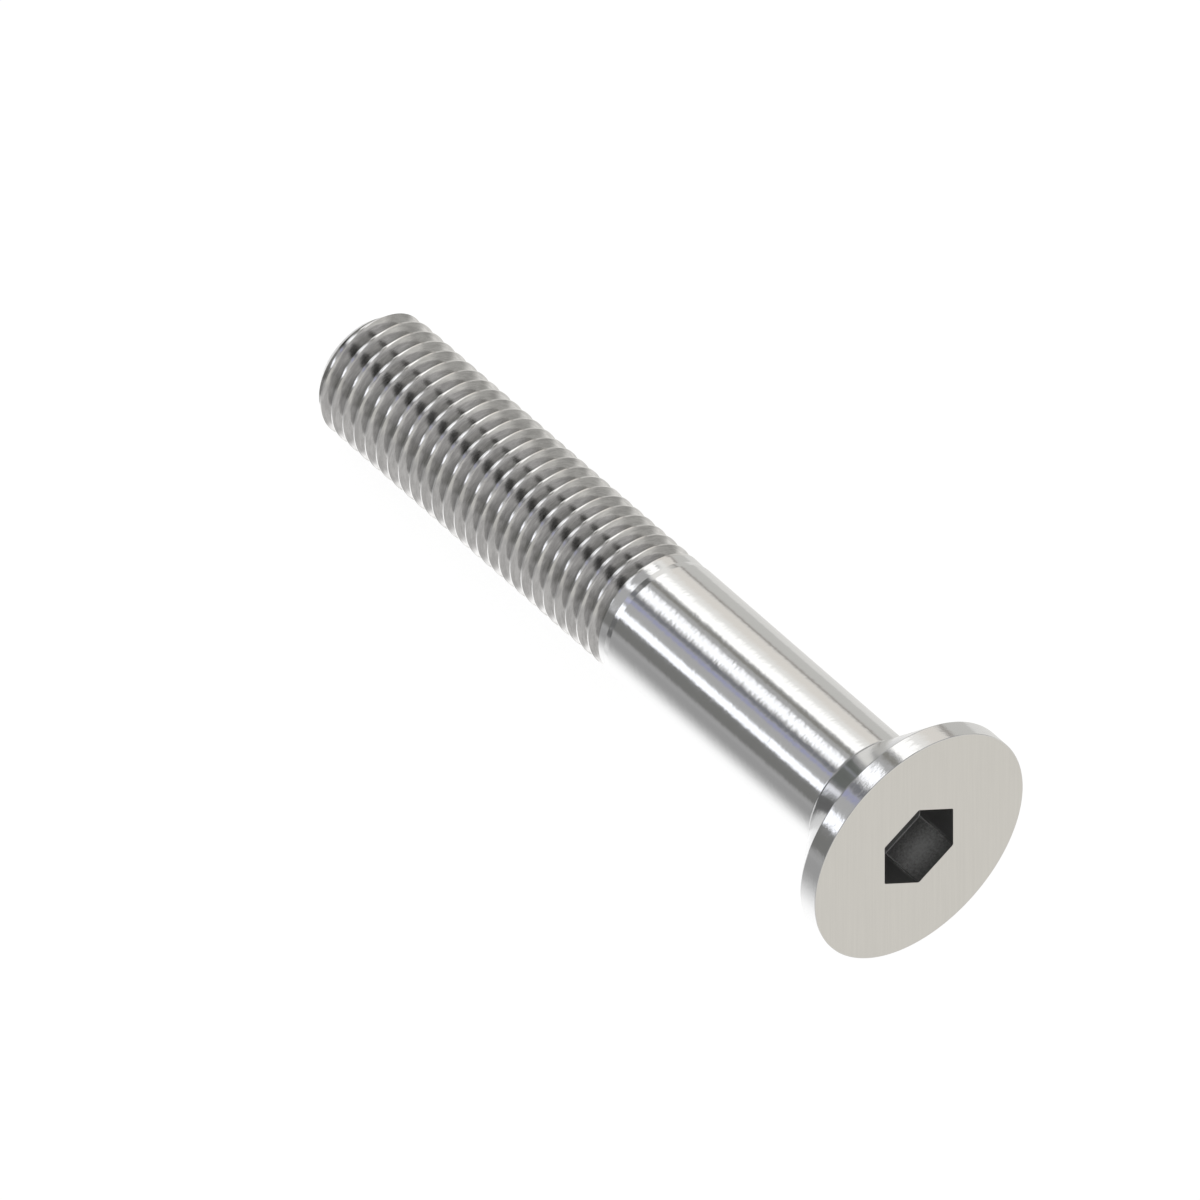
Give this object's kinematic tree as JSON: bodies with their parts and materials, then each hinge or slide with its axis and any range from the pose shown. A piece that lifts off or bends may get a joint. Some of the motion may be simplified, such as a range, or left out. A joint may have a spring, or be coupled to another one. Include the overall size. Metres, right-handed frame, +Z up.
{
  "type": "countersunk screw",
  "caption": "Countersunk screw with a hexagonal socket, a plain shank and a fine right-hand thread, lying on its side as it rests.",
  "frame": {"origin": "bottom centre of the bounding box of the screw as it lies", "axes": "+Z up. The screw's axis lies in the XZ plane: the head is towards +X, and the tip is towards -X and lower, because the screw rests on its rim and on the end of its thread."},
  "size_m": [0.0506, 0.0152, 0.0153],
  "materials": {
    "steel": "bright turned steel, finely brushed on the face"
  },
  "bodies": {
    "root": {"screw": "steel"}
  },
  "joints": []
}
